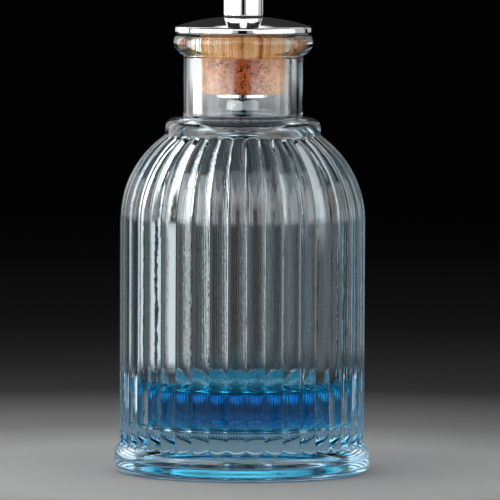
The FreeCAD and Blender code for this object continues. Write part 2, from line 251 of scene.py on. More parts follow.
# Floor and light, in metres
FLOOR_GAP = 0.02 * MM
FLOOR_HALF_WIDTH = 30.0
LAMP_RING = 0.30
NEAR_RING = 0.17
SKIRTING_RING = 0.10
OPEN_SPREAD = math.pi
GRID_SPREAD = math.radians(70.0)
LAMP_EDGE_SHARE = 0.15
LAMP_MIDDLE_SHARE = 0.5
WATTS_PER_RADIANCE = 4.0
WORLD_GREY = 0.03

# Upright soft boxes: both ends in degrees to the right of the viewer, lowest and highest level, radiance,
# the ring they stand on and, for one, the spread of its grid
SOFT_BOXES = [
    ("left_front_softbox", -70, -14, 0.04, 0.26, 2.5, LAMP_RING),
    ("left_softbox", -98, -50, 0.04, 0.26, 2.2, LAMP_RING),
    ("left_dome_strip", -140, -98, 0.035, 0.24, 1.6, LAMP_RING),
    ("left_low_strip", -142, -72, 0.006, 0.054, 0.62, NEAR_RING),
    ("left_low_back", -178, -130, 0.006, 0.054, 0.09, NEAR_RING),
    ("left_back_strip", -160, -120, 0.06, 0.30, 0.7, LAMP_RING),
    ("back_skirting", 160, 200, 0.002, 0.014, 1.6, SKIRTING_RING, GRID_SPREAD),
    ("right_softbox", 16, 100, 0.04, 0.26, 1.9, LAMP_RING),
    ("right_dome_strip", 85, 130, 0.03, 0.24, 0.4, LAMP_RING),
    ("right_low_strip", 80, 150, 0.006, 0.054, 0.08, NEAR_RING),
    ("right_low_back", 140, 178, 0.006, 0.054, 0.04, NEAR_RING),
    ("right_back_strip", 135, 160, 0.06, 0.30, 0.4, LAMP_RING),
    ("left_inner_strip", -26, -5, 0.045, 0.115, 0.4, LAMP_RING),
    ("right_inner_strip", 7, 28, 0.045, 0.115, 0.3, LAMP_RING),
    ("front_fill", -24, 28, 0.12, 0.34, 1.3, LAMP_RING),
]
HIGH_BACK_PLACE = (0.0, 0.44, 0.54)
HIGH_BACK_AIM = (0.0, 0.0, 0.055)
HIGH_BACK_WIDTH = 1.1
HIGH_BACK_HEIGHT = 0.32
HIGH_BACK_RADIANCE = 1.1

# Camera, from the perspective of the photograph
CAMERA_DISTANCE = 1.449
CAMERA_PITCH = math.radians(3.6)
CAMERA_TURN = math.radians(2.3)
CAMERA_ROLL = math.radians(0.25)
CAMERA_LENS_MM = 464.8
CAMERA_CLIP_END = 100.0
AIM_LEVEL = 49.8 * MM
AIM_RIGHT = 1.7 * MM


def arc_radius(reach, rise):
    """Radius of the arc that leaves square to its reach and covers both the reach and the rise."""
    return (reach ** 2 + rise ** 2) / (2 * reach)


def arc(start, end, radius, turn, steps):
    """Points of an arc of less than half a circle after its start, up to and with its end."""
    (r0, z0), (r1, z1) = start, end
    length = math.hypot(r1 - r0, z1 - z0)
    height = math.sqrt(max(radius ** 2 - (length / 2) ** 2, 0))
    centre_r = (r0 + r1) / 2 - turn * height * (z1 - z0) / length
    centre_z = (z0 + z1) / 2 + turn * height * (r1 - r0) / length
    first = math.atan2(z0 - centre_z, r0 - centre_r)
    sweep = turn * 2 * math.asin(min(length / (2 * radius), 1))
    points = []
    for step in range(1, steps + 1):
        angle = first + sweep * step / steps
        points.append((centre_r + radius * math.cos(angle), centre_z + radius * math.sin(angle)))
    return points


def straight(start, end, steps):
    """Evenly spaced points after the start of a line, up to and with its end."""
    (r0, z0), (r1, z1) = start, end
    points = []
    for step in range(1, steps + 1):
        points.append((r0 + (r1 - r0) * step / steps, z0 + (z1 - z0) * step / steps))
    return points


def bend(start, corner, end, steps):
    """A soft corner: points of a parabola after its start, up to and with its end."""
    points = []
    for step in range(1, steps + 1):
        way_share = step / steps
        start_share = (1 - way_share) ** 2
        corner_share = 2 * way_share * (1 - way_share)
        end_share = way_share ** 2
        r = start_share * start[0] + corner_share * corner[0] + end_share * end[0]
        z = start_share * start[1] + corner_share * corner[1] + end_share * end[1]
        points.append((r, z))
    return points


def column_angles(columns):
    """Angles round the axis at which a turned piece has its points."""
    return np.arange(columns) * FULL_TURN / columns


def from_sector_middle(angles, pitch):
    """The same angles, each from the middle of the sector it lies in; a sector is a pitch wide."""
    return (angles + pitch / 2) % pitch - pitch / 2


def add_mesh(name, vertices, faces):
    """A shown object of its own, with smooth faces that break only at real edges."""
    mesh = bpy.data.meshes.new(name)
    mesh.from_pydata(vertices, [], faces)
    shape = bmesh.new()
    shape.from_mesh(mesh)
    bmesh.ops.recalc_face_normals(shape, faces=shape.faces)
    shape.to_mesh(mesh)
    shape.free()
    mesh.shade_smooth()
    mesh.set_sharp_from_angle(angle=SHARP_ANGLE)
    piece = bpy.data.objects.new(name, mesh)
    bpy.context.scene.collection.objects.link(piece)
    return piece


def lathe(name, rows, columns, ring=False):
    """A turned piece. A row is a radius and a level, each one number or one per column.

    A radius of zero at an end closes the piece there; a ring's last row joins its first.
    """
    angles = column_angles(columns)
    vertices, starts, sizes = [], [], []
    for radius, level in rows:
        pole = np.ndim(radius) == 0 and radius == 0
        count = 1 if pole else columns
        radii = np.broadcast_to(radius, (columns,))[:count]
        levels = np.broadcast_to(level, (columns,))[:count]
        starts.append(len(vertices))
        sizes.append(count)
        turns = angles[:count]
        points = np.stack([radii * np.cos(turns), radii * np.sin(turns), levels], axis=1)
        vertices.extend(points.tolist())
    faces = []
    pairs = len(rows) if ring else len(rows) - 1
    for row in range(pairs):
        after = (row + 1) % len(rows)
        for column in range(columns):
            beside = (column + 1) % columns
            corners = [
                starts[row] + column % sizes[row],
                starts[row] + beside % sizes[row],
                starts[after] + beside % sizes[after],
                starts[after] + column % sizes[after],
            ]
            faces.append(list(dict.fromkeys(corners)))
    return add_mesh(name, vertices, faces)


def dress(piece, body, node, material):
    """Hand a piece to its body, its solid and its finish."""
    piece.data.materials.append(material)
    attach(piece, body)
    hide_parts(node)


# Glass

def rib_shape(angles):
    """Distance from the axis as a share of the crest radius: an arc over each rib, valley to valley."""
    pitch = FULL_TURN / RIB_COUNT
    local = from_sector_middle(angles, pitch)
    valley = CREST_RADIUS - RIB_DEPTH
    centre = (CREST_RADIUS ** 2 - valley ** 2) / (2 * (CREST_RADIUS - valley * math.cos(pitch / 2)))
    rounding = CREST_RADIUS - centre
    distance = centre * np.cos(local) + np.sqrt(rounding ** 2 - (centre * np.sin(local)) ** 2)
    return distance / CREST_RADIUS


def glass_foot_rows():
    """The underside: a hollow with a sloping side, the flat ring it stands on, and the rounded edge."""
    foot_outside = BASE_RADIUS - BASE_EDGE_RADIUS
    foot_inside = foot_outside - FOOT_WIDTH
    roof = (foot_inside - PUNT_SIDE_WIDTH, PUNT_SIDE_HEIGHT)
    slope = Vector((PUNT_SIDE_WIDTH, -PUNT_SIDE_HEIGHT)).normalized() * FOOT_BLEND
    hollow_radius = arc_radius(PUNT_DEPTH - PUNT_SIDE_HEIGHT, roof[0])
    hollow = arc((0, PUNT_DEPTH), roof, hollow_radius, CLOCKWISE, steps=8)
    rows = [(0, PUNT_DEPTH)] + hollow[:-1]
    rows += bend(rows[-1], roof, (roof[0] + slope.x, roof[1] + slope.y), steps=4)
    rows += straight(rows[-1], (foot_inside - slope.x, -slope.y), steps=3)
    rows += bend(rows[-1], (foot_inside, 0), (foot_inside + FOOT_BLEND, 0), steps=4)
    rows += straight(rows[-1], (foot_outside, 0), steps=2)
    rows += arc(rows[-1], (BASE_RADIUS, BASE_EDGE_RADIUS), BASE_EDGE_RADIUS, COUNTERCLOCKWISE, steps=10)
    rows += straight(rows[-1], (BASE_RADIUS, BASE_BELLY_LEVEL), steps=2)
    return rows


def glass_wall_rows(shape):
    """From the belly of the base ring up the ribs and over the dome to the side of the collar."""
    wall = CREST_RADIUS * shape
    rounding = arc_radius(BASE_RADIUS - BASE_TOP_RADIUS, BASE_HEIGHT - BASE_BELLY_LEVEL)
    centre = BASE_RADIUS - rounding

    def ring_point(radius):
        """The point of the base ring's rounded top at a radius."""
        return radius, BASE_BELLY_LEVEL + np.sqrt(rounding ** 2 - (radius - centre) ** 2)

    blend_from = wall + SCALLOP_BLEND
    last_angle = np.arccos((blend_from - centre) / rounding)
    rows = []
    for step in range(1, BASE_RING_STEPS + 1):
        angle = last_angle * step / BASE_RING_STEPS
        rows.append((centre + rounding * np.cos(angle), BASE_BELLY_LEVEL + rounding * np.sin(angle)))
    corner = ring_point(wall)
    rows += bend(ring_point(blend_from), corner, (wall, corner[1] + SCALLOP_BLEND), steps=6)
    rows += straight(rows[-1], (wall, SHOULDER_LEVEL), steps=3)

    reach = (CREST_RADIUS - DOME_TOP_RADIUS) / (1 - math.cos(DOME_SWEEP))
    rise = DOME_HEIGHT / math.sin(DOME_SWEEP)

    def dome_point(angle):
        """The point of the dome's elliptical outline at an angle."""
        radius = (CREST_RADIUS - reach * (1 - np.cos(angle))) * shape
        return radius, SHOULDER_LEVEL + rise * np.sin(angle)

    meeting = np.arccos(1 - (CREST_RADIUS - COLLAR_RADIUS / shape) / reach)
    blend_angle = meeting - COLLAR_BLEND / reach
    for step in range(1, DOME_STEPS + 1):
        rows.append(dome_point(blend_angle * step / DOME_STEPS))
    corner = (COLLAR_RADIUS, dome_point(meeting)[1])
    rows += bend(rows[-1], corner, (COLLAR_RADIUS, corner[1] + COLLAR_BLEND), steps=5)
    return rows


def glass_top_rows(start):
    """Collar, neck and lip, over the mouth to the top of the bore."""
    collar_side = (COLLAR_RADIUS, NECK_LEVEL - COLLAR_ROUND)
    collar_top = (COLLAR_RADIUS - COLLAR_ROUND, NECK_LEVEL)
    rows = straight(start, collar_side, steps=2)
    rows += arc(collar_side, collar_top, COLLAR_ROUND, COUNTERCLOCKWISE, steps=10)
    rows += straight(rows[-1], (NECK_RADIUS + NECK_FILLET, NECK_LEVEL), steps=2)
    rows += arc(rows[-1], (NECK_RADIUS, NECK_LEVEL + NECK_FILLET), NECK_FILLET, CLOCKWISE, steps=7)
    rows += straight(rows[-1], (NECK_RADIUS, LIP_LEVEL - LIP_BLEND), steps=2)
    lip_start = (NECK_RADIUS, LIP_LEVEL)
    bead_level = LIP_LEVEL + LIP_BELLY_HEIGHT
    below_radius = arc_radius(LIP_RADIUS - NECK_RADIUS, LIP_BELLY_HEIGHT)
    below = arc(lip_start, (LIP_RADIUS, bead_level), below_radius, COUNTERCLOCKWISE, steps=12)
    rows += bend(rows[-1], lip_start, below[SOFTENED_START_STEPS - 1], steps=4)
    rows += below[SOFTENED_START_STEPS:]
    top_edge = (LIP_RADIUS - LIP_EDGE_INSET, MOUTH_LEVEL)
    above_radius = arc_radius(LIP_EDGE_INSET, MOUTH_LEVEL - bead_level)
    above = arc(rows[-1], top_edge, above_radius, COUNTERCLOCKWISE, steps=8)
    rows += above[:-SOFTENED_END_STEPS]
    rows += bend(rows[-1], top_edge, (top_edge[0] - LIP_BLEND, MOUTH_LEVEL), steps=5)
    mouth_edge = (BORE_RADIUS + MOUTH_ROUND, MOUTH_LEVEL)
    bore_top = (BORE_RADIUS, MOUTH_LEVEL - MOUTH_ROUND)
    rows += straight(rows[-1], mouth_edge, steps=2)
    rows += arc(mouth_edge, bore_top, MOUTH_ROUND, COUNTERCLOCKWISE, steps=6)
    return rows


def glass_inside_rows(start):
    """Down the bore, out over the inner dome, down the wall and in along the floor."""
    throat = (BORE_RADIUS, THROAT_LEVEL)
    blend_top = (BORE_RADIUS, THROAT_LEVEL + THROAT_BLEND)
    dome_radius = arc_radius(CAVITY_RADIUS - BORE_RADIUS, THROAT_LEVEL - SHOULDER_LEVEL)
    dome = arc(throat, (CAVITY_RADIUS, SHOULDER_LEVEL), dome_radius, CLOCKWISE, steps=24)
    rows = straight(start, blend_top, steps=2)
    rows += bend(blend_top, throat, dome[SOFTENED_START_STEPS - 1], steps=8)
    rows += dome[SOFTENED_START_STEPS:]
    rows += straight(rows[-1], (CAVITY_RADIUS, FLOOR_LEVEL + FLOOR_ROUND), steps=3)
    rows += arc(rows[-1], (CAVITY_RADIUS - FLOOR_ROUND, FLOOR_LEVEL), FLOOR_ROUND, CLOCKWISE, steps=10)
    rows += straight(rows[-1], (0, FLOOR_LEVEL), steps=4)
    return rows


def glass_bottle():
    """The bottle, from the middle of its underside round to the middle of the floor inside."""
    shape = rib_shape(column_angles(GLASS_COLUMNS))
    rows = glass_foot_rows()
    rows += glass_wall_rows(shape)
    rows += glass_top_rows(rows[-1])
    rows += glass_inside_rows(rows[-1])
    piece = lathe("ribbed_glass", rows, GLASS_COLUMNS)
    dress(piece, "bottle", "glass_bottle", glass_material())


# Liquid

def bitters_fill():
    """The liquid wets the glass: it reaches a hair into the wall, and creeps up it in a meniscus."""
    radius = CAVITY_RADIUS + WET_OVERLAP
    bottom = FLOOR_LEVEL - WET_OVERLAP
    corner = FLOOR_ROUND + WET_OVERLAP
    rows = [(0, bottom)]
    rows += straight(rows[-1], (radius - corner, bottom), steps=3)
    rows += arc(rows[-1], (radius, bottom + corner), corner, COUNTERCLOCKWISE, steps=10)
    rows += straight(rows[-1], (radius, FILL_LEVEL + MENISCUS_HEIGHT), steps=2)
    lean = (radius - MENISCUS_WIDTH * MENISCUS_LEAN_SHARE, FILL_LEVEL)
    rows += bend(rows[-1], lean, (radius - MENISCUS_WIDTH, FILL_LEVEL), steps=10)
    rows += straight(rows[-1], (0, FILL_LEVEL), steps=3)
    piece = lathe("blue_liquid", rows, METAL_COLUMNS)
    dress(piece, "bottle", "bitters_fill", liquid_material())


# Cork

def pit_depths(rows, columns):
    """How deep the seeded pits of the bark sink each point of the cork's side, one array per row."""
    picker = random.Random(CORK_SEED)
    angles = column_angles(columns)
    depths = [np.zeros(columns) for _ in rows]
    for _ in range(PIT_COUNT):
        gathered = picker.random() < FRONT_PIT_SHARE
        angle = picker.gauss(FRONT, FRONT_PIT_SPREAD) if gathered else picker.uniform(0, FULL_TURN)
        height = picker.uniform(CORK_END_LEVEL, CORK_SEAT_LEVEL - max(PIT_HALF_HEIGHTS))
        half_width = picker.uniform(*PIT_HALF_WIDTHS)
        half_height = picker.uniform(*PIT_HALF_HEIGHTS)
        deep = picker.uniform(*PIT_DEPTHS)
        for (radius, level), depth in zip(rows, depths):
            across = ((angles - angle + math.pi) % FULL_TURN - math.pi) * radius
            depth += deep * np.exp(-(across / half_width) ** 2 - ((level - height) / half_height) ** 2)
    return [np.minimum(depth, max(PIT_DEPTHS)) for depth in depths]


def cork_stopper():
    """The cork, with pits sunk into its side and marked for the material.

    The bore squeezes it at the top: there some fibres reach a hair into the glass, and others end
    short of it.
    """
    end = [(PASSAGE_RADIUS, CORK_END_LEVEL)]
    end += straight(end[-1], (CORK_END_RADIUS - CORK_EDGE, CORK_END_LEVEL), steps=12)
    side_start = (CORK_END_RADIUS, CORK_END_LEVEL + CORK_EDGE)
    side = bend(end[-1], (CORK_END_RADIUS, CORK_END_LEVEL), side_start, steps=5)
    side += straight(side[-1], (CORK_SEAT_RADIUS, CORK_SEAT_LEVEL), steps=52)
    fibres = np.random.default_rng(CORK_SEED).uniform(-1, 1, CORK_COLUMNS)
    pressed = BORE_RADIUS + PRESS_GRAIN * fibres
    side += straight(side[-1], (CORK_SEAT_RADIUS, PRESS_LEVEL), steps=4)
    side += straight(side[-1], (pressed, PRESS_LEVEL + PRESS_LENGTH), steps=2)
    side += straight(side[-1], (pressed, CAP_LEVEL), steps=8)
    back = straight(side[-1], (PASSAGE_RADIUS, CAP_LEVEL), steps=4)
    back += straight(back[-1], (PASSAGE_RADIUS, CORK_END_LEVEL), steps=6)[:-1]
    depths = pit_depths(side, CORK_COLUMNS)
    pitted = [(radius - depth, level) for (radius, level), depth in zip(side, depths)]
    piece = lathe("natural_cork_stopper", end + pitted + back, CORK_COLUMNS, ring=True)
    marks = np.zeros((len(end) + len(side) + len(back), CORK_COLUMNS))
    marks[len(end):len(end) + len(side)] = np.array(depths) / max(PIT_DEPTHS)
    attribute = piece.data.attributes.new("pit", "FLOAT", "POINT")
    attribute.data.foreach_set("value", marks.ravel())
    dress(piece, "stopper", "cork_stopper", cork_material())


# Metal pieces and the seal

def cap_disc():
    """The disc, with a rounded rim and a shallow crown up to the seal."""
    rows = [(PASSAGE_RADIUS, CAP_LEVEL)]
    rows += straight(rows[-1], (CAP_RADIUS - CAP_RIM_ROUND, CAP_LEVEL), steps=3)
    rim_start = (CAP_RADIUS, CAP_LEVEL + CAP_RIM_ROUND)
    rows += arc(rows[-1], rim_start, CAP_RIM_ROUND, COUNTERCLOCKWISE, steps=8)
    rows += straight(rows[-1], (CAP_RADIUS, CAP_RIM_LEVEL - CAP_RIM_ROUND), steps=2)
    seat = (CAP_SEAT_RADIUS, SEAL_LEVEL)
    slope = Vector((seat[0] - CAP_RADIUS, seat[1] - CAP_RIM_LEVEL)).normalized() * CAP_RIM_ROUND
    crown_start = (CAP_RADIUS + slope.x, CAP_RIM_LEVEL + slope.y)
    rows += bend(rows[-1], (CAP_RADIUS, CAP_RIM_LEVEL), crown_start, steps=8)
    rows += arc(rows[-1], seat, CAP_CROWN_RADIUS, COUNTERCLOCKWISE, steps=14)
    rows += straight(rows[-1], (PASSAGE_RADIUS, SEAL_LEVEL), steps=2)
    piece = lathe("polished_cap_disc", rows, METAL_COLUMNS, ring=True)
    dress(piece, "stopper", "cap_disc", chrome_material("polished_metal"))


def spout_seal():
    """The seal, bulged a little: a soft corner reaches half way out to its corner point."""
    rows = [(PASSAGE_RADIUS, SEAL_LEVEL), (SEAL_RADIUS, SEAL_LEVEL)]
    middle = (SEAL_RADIUS + SEAL_BULGE * 2, (SEAL_LEVEL + FOOT_LEVEL) / 2)
    rows += bend(rows[-1], middle, (SEAL_RADIUS, FOOT_LEVEL), steps=6)
    rows += [(PASSAGE_RADIUS, FOOT_LEVEL)]
    piece = lathe("rubber_spout_seal", rows, METAL_COLUMNS, ring=True)
    dress(piece, "stopper", "spout_seal", rubber_material())


def thread_rows(start_level, end_level, angles):
    """A single ridge that winds up the shank."""
    steps = round((end_level - start_level) / THREAD_PITCH * THREAD_STEPS_PER_TURN)
    rows = []
    for step in range(1, steps + 1):
        level = start_level + (end_level - start_level) * step / steps
        phase = (level / THREAD_PITCH - angles / FULL_TURN) % 1
        groove = np.abs(2 * phase - 1)
        rows.append((SHANK_RADIUS - THREAD_DEPTH * groove, level))
    return rows


def dasher_spout():
    """The spout: threaded shank, foot, taper and nozzle, with the drop bore up its middle."""
    angles = column_angles(METAL_COLUMNS)
    rows = [(DROP_BORE_RADIUS, SHANK_END_LEVEL)]
    rows += [(SHANK_RADIUS - SHANK_END_CHAMFER, SHANK_END_LEVEL)]
    rows += thread_rows(SHANK_END_LEVEL + SHANK_END_CHAMFER, CORK_END_LEVEL, angles)
    rows += straight((SHANK_RADIUS, CORK_END_LEVEL), (SHANK_RADIUS, FOOT_LEVEL), steps=3)
    rows += straight(rows[-1], (SPOUT_RADIUS - SPOUT_EDGE, FOOT_LEVEL), steps=2)
    rows += bend(rows[-1], (SPOUT_RADIUS, FOOT_LEVEL), (SPOUT_RADIUS, FOOT_LEVEL + SPOUT_EDGE), steps=5)
    rows += straight(rows[-1], (SPOUT_RADIUS, TAPER_LEVEL), steps=4)
    half_step = (SPOUT_RADIUS - NOZZLE_RADIUS) / 2
    half_length = (NOZZLE_LEVEL - TAPER_LEVEL) / 2
    radius = arc_radius(half_step, half_length)
    middle = (SPOUT_RADIUS - half_step, TAPER_LEVEL + half_length)
    rows += arc(rows[-1], middle, radius, COUNTERCLOCKWISE, steps=16)
    rows += arc(middle, (NOZZLE_RADIUS, NOZZLE_LEVEL), radius, CLOCKWISE, steps=16)
    rows += straight(rows[-1], (NOZZLE_RADIUS, TIP_LEVEL - TIP_ROUND), steps=4)
    rows += arc(rows[-1], (NOZZLE_RADIUS - TIP_ROUND, TIP_LEVEL), TIP_ROUND, COUNTERCLOCKWISE, steps=10)
    rows += [(ORIFICE_RADIUS, TIP_LEVEL)]
    rows += [(ORIFICE_RADIUS, TIP_LEVEL - ORIFICE_LENGTH)]
    rows += [(DROP_BORE_RADIUS, TIP_LEVEL - ORIFICE_LENGTH - (DROP_BORE_RADIUS - ORIFICE_RADIUS))]
    piece = lathe("polished_dasher_spout", rows, METAL_COLUMNS, ring=True)
    dress(piece, "spout", "dasher_spout", chrome_material("spout_metal"))


def retaining_washer():
    """The washer, with an upright rim under the cork and a shallow dome below it."""
    edge_level = CORK_END_LEVEL - WASHER_EDGE
    dome_radius = arc_radius(edge_level - WASHER_END_LEVEL, WASHER_RADIUS - WASHER_FLAT_RADIUS)
    rows = [(PASSAGE_RADIUS, WASHER_END_LEVEL), (WASHER_FLAT_RADIUS, WASHER_END_LEVEL)]
    rows += arc(rows[-1], (WASHER_RADIUS, edge_level), dome_radius, COUNTERCLOCKWISE, steps=14)
    rows += [(WASHER_RADIUS, CORK_END_LEVEL), (PASSAGE_RADIUS, CORK_END_LEVEL)]
    piece = lathe("domed_washer", rows, METAL_COLUMNS, ring=True)
    dress(piece, "stopper", "retaining_washer", chrome_material("washer_metal"))


def retaining_nut():
    """The hexagon nut, chamfered at both ends."""
    angles = column_angles(METAL_COLUMNS)
    pitch = FULL_TURN / NUT_SIDES
    local = from_sector_middle(angles, pitch)
    across = NUT_FLATS_RADIUS / np.cos(local)
    drop = (across - NUT_FLATS_RADIUS) * math.tan(NUT_CHAMFER)
    rows = [
        (NUT_HOLE_RADIUS, NUT_END_LEVEL),
        (NUT_FLATS_RADIUS, NUT_END_LEVEL),
        (across, NUT_END_LEVEL + drop),
        (across, WASHER_END_LEVEL - drop),
        (NUT_FLATS_RADIUS, WASHER_END_LEVEL),
        (NUT_HOLE_RADIUS, WASHER_END_LEVEL),
    ]
    piece = lathe("hexagon_nut", rows, METAL_COLUMNS, ring=True)
    dress(piece, "stopper", "retaining_nut", steel_material())


# Materials

class Nodes:
    """A short way to build a material's node tree.

    The mix node has sockets for each kind of value; the numbers here are those for colours.
    """

    MIX_INPUTS = 0, 6, 7
    MIX_OUTPUT = 2

    def __init__(self, name):
        self.material = bpy.data.materials.new(name)
        self.material.use_nodes = True
        self.tree = self.material.node_tree
        self.shader = self.tree.nodes["Principled BSDF"]
        self.output = self.tree.nodes["Material Output"]
        self.place = self.add("ShaderNodeTexCoord").outputs["Object"]

    def add(self, kind, **inputs):
        """A new node, with its inputs fed by name."""
        node = self.tree.nodes.new(kind)
        self.feed_named(node, inputs)
        return node

    def feed(self, node, key, value):
        """Link or set the input that a name or a number stands for."""
        socket = node.inputs[key]
        if isinstance(value, bpy.types.NodeSocket):
            self.tree.links.new(value, socket)
        else:
            socket.default_value = value

    def feed_named(self, node, inputs):
        """Feed inputs by name, where an underscore stands for a space."""
        for name, value in inputs.items():
            self.feed(node, name.replace("_", " "), value)

    def set(self, **inputs):
        """Feed the shader's inputs by name."""
        self.feed_named(self.shader, inputs)

    def noise(self, scale, detail=2.0, roughness=0.5, stretch=(1.0, 1.0, 1.0)):
        """Noise in object space; a stretch below 1 draws it out along that axis."""
        place = self.add("ShaderNodeMapping", Vector=self.place, Scale=stretch).outputs["Vector"]
        node = self.add("ShaderNodeTexNoise", Vector=place, Scale=scale, Detail=detail,
                        Roughness=roughness)
        return node.outputs["Fac"]

    def mix(self, share, first, second):
        """One colour that gives way to another by a share from 0 to 1."""
        node = self.add("ShaderNodeMix")
        node.data_type = "RGBA"
        for number, value in zip(self.MIX_INPUTS, (share, first, second)):
            self.feed(node, number, value)
        return node.outputs[self.MIX_OUTPUT]

    def math(self, operation, first, second=0.0):
        """One sum; the second value is idle where the operation takes one."""
        node = self.add("ShaderNodeMath")
        node.operation = operation
        for number, value in enumerate((first, second)):
            self.feed(node, number, value)
        return node.outputs["Value"]

    def ramp(self, value, stops):
        """A colour by a value from 0 to 1, from stops of a place and a colour."""
        node = self.add("ShaderNodeValToRGB", Fac=value)
        elements = node.color_ramp.elements
        while len(elements) < len(stops):
            elements.new(1.0)
        for element, (position, colour) in zip(elements, stops):
            element.position = position
            element.color = colour
        return node.outputs["Color"]

    def bump(self, height, strength, distance):
        """Fine relief on the surface, from a height."""
        node = self.add("ShaderNodeBump", Strength=strength, Distance=distance, Height=height)
        self.set(Normal=node.outputs["Normal"])

    def absorb(self, colour, density):
        """A tint that deepens with the way through the piece."""
        node = self.add("ShaderNodeVolumeAbsorption", Color=colour, Density=density)
        self.feed(self.output, "Volume", node.outputs["Volume"])


def glass_material():
    """Clear glass, a little blue in depth, with the faint lines that pressing draws up its wall."""
    nodes = Nodes("clear_glass")
    nodes.set(Base_Color=grey(1.0), Roughness=0.0, IOR=GLASS_IOR, Transmission_Weight=1.0)
    place = nodes.add("ShaderNodeSeparateXYZ", Vector=nodes.place)
    angle = nodes.math("ARCTAN2", place.outputs["Y"], place.outputs["X"])
    rise = nodes.math("MULTIPLY", place.outputs["Z"], MOULD_LINE_RISE)
    unrolled = nodes.add("ShaderNodeCombineXYZ", X=angle, Y=rise)
    lines = nodes.add("ShaderNodeTexNoise", Vector=unrolled.outputs["Vector"], Scale=MOULD_LINE_SCALE,
                      Detail=3.0)
    ripple = nodes.noise(RIPPLE_SCALE, detail=1.0)
    height = nodes.math("ADD", ripple, nodes.math("MULTIPLY", lines.outputs["Fac"], MOULD_LINE_SHARE))
    nodes.bump(height, GLASS_BUMP_SHARE, GLASS_BUMP_HEIGHT)
    nodes.absorb(GLASS_TINT, GLASS_TINT_DENSITY)
    return nodes.material


def liquid_material():
    """Deep blue through the middle and cyan where it is thin. The film that clings to the wall is tinted
    cyan: painted light that stands in for the cyan light reaching the liquid's edge through its bulk.
    """
    nodes = Nodes("blue_bitters")
    place = nodes.add("ShaderNodeSeparateXYZ", Vector=nodes.place)
    above = nodes.math("SUBTRACT", place.outputs["Z"], FILL_LEVEL)
    film = nodes.math("DIVIDE", above, MENISCUS_HEIGHT)
    # Painted light: above the liquid's level the film is tinted cyan.
    colour = nodes.ramp(film, FILM_PAINTED_LIGHT_STOPS)
    nodes.set(Base_Color=colour, Roughness=0.0, IOR=LIQUID_IOR, Transmission_Weight=1.0)
    nodes.absorb(LIQUID_TINT, LIQUID_TINT_DENSITY)
    return nodes.material


def cork_material():
    """Orange bark with fine cells, veins, dark pits, crumbs and a stained front.

    Above the seat's level, where the mouth squeezes it, it is amber with fine upright streaks and two
    marks.
    """
    nodes = Nodes("natural_cork")
    place = nodes.add("ShaderNodeSeparateXYZ", Vector=nodes.place)
    off_middle = nodes.math("ABSOLUTE", place.outputs["X"])
    front = nodes.math("LESS_THAN", place.outputs["Y"], 0.0)
    ragged = nodes.noise(RAGGED_SCALE, detail=6.0, roughness=0.6)
    cells = nodes.noise(CELL_SCALE, detail=6.0, roughness=0.65)
    cloud = nodes.noise(CLOUD_SCALE, detail=3.0, roughness=0.6)
    bark = nodes.mix(nodes.ramp(cloud, VEIN_STOPS), nodes.ramp(cells, BARK_STOPS), VEIN_COLOUR)

    wander = nodes.math("MULTIPLY", ragged, STAIN_WANDER)
    reach = nodes.math("SUBTRACT", nodes.math("ADD", off_middle, wander), STAIN_START)
    stain = nodes.ramp(nodes.math("DIVIDE", reach, STAIN_FADE), STAIN_STOPS)
    bark = nodes.mix(nodes.math("MULTIPLY", stain, front), bark, STAIN_COLOUR)
    pit = nodes.add("ShaderNodeAttribute")
    pit.attribute_name = "pit"
    bark = nodes.mix(nodes.ramp(pit.outputs["Fac"], PIT_STOPS), bark, PIT_COLOUR)
    specks = nodes.noise(CRUMB_SCALE, detail=3.0, roughness=0.6)
    crowding = nodes.ramp(nodes.math("DIVIDE", off_middle, CORK_SEAT_RADIUS), CRUMB_CROWDING_STOPS)
    crumbs = nodes.math("MULTIPLY", nodes.ramp(specks, CRUMB_STOPS), crowding)
    bark = nodes.mix(crumbs, bark, CRUMB_COLOUR)

    streaks = nodes.noise(STREAK_SCALE, detail=4.0, roughness=0.6, stretch=STREAK_STRETCH)
    seat = nodes.ramp(streaks, SEAT_STOPS)
    waver = nodes.math("SUBTRACT", ragged, NOISE_MIDDLE)
    for across, half_width, colour in CORK_MARKS:
        off_mark = nodes.math("ABSOLUTE", nodes.math("SUBTRACT", place.outputs["X"], across))
        near = nodes.math("ADD", nodes.math("DIVIDE", off_mark, half_width), waver)
        mark = nodes.math("MULTIPLY", nodes.ramp(near, MARK_STOPS), front)
        seat = nodes.mix(mark, seat, colour)
    above = nodes.math("SUBTRACT", place.outputs["Z"], CORK_SEAT_LEVEL)
    squeezed = nodes.ramp(nodes.math("DIVIDE", above, SEAT_FADE), SEAT_FADE_STOPS)
    colour = nodes.mix(squeezed, bark, seat)
    nodes.set(Base_Color=colour, Roughness=CORK_ROUGHNESS, Specular_IOR_Level=CORK_SPECULAR)
    nodes.bump(cells, CORK_BUMP_SHARE, CORK_BUMP_HEIGHT)
    return nodes.material


def chrome_material(name):
    """Mirror polish with the faint smudges of handling."""
    nodes = Nodes(name)
    smudge = nodes.noise(SMUDGE_SCALE, detail=3.0)
    roughness = nodes.ramp(smudge, CHROME_ROUGHNESS_STOPS)
    nodes.set(Base_Color=CHROME_COLOUR, Metallic=1.0, Roughness=roughness)
    return nodes.material


def steel_material():
    """Machined steel with faint tool marks; its colour is darker than bare steel, painted shade that
    stands in for the dark surroundings it mirrors.
    """
    nodes = Nodes("fastener_steel")
    marks = nodes.noise(STEEL_MARK_SCALE, detail=3.0)
    roughness = nodes.ramp(marks, STEEL_ROUGHNESS_STOPS)
    nodes.set(Base_Color=SHADED_STEEL_COLOUR, Metallic=1.0, Roughness=roughness)
    return nodes.material


def rubber_material():
    """Matt black rubber with a fine grain."""
    nodes = Nodes("black_rubber")
    grain = nodes.noise(RUBBER_GRAIN_SCALE, detail=2.0)
    nodes.set(Base_Color=nodes.ramp(grain, RUBBER_STOPS), Roughness=RUBBER_ROUGHNESS)
    return nodes.material


# Stage

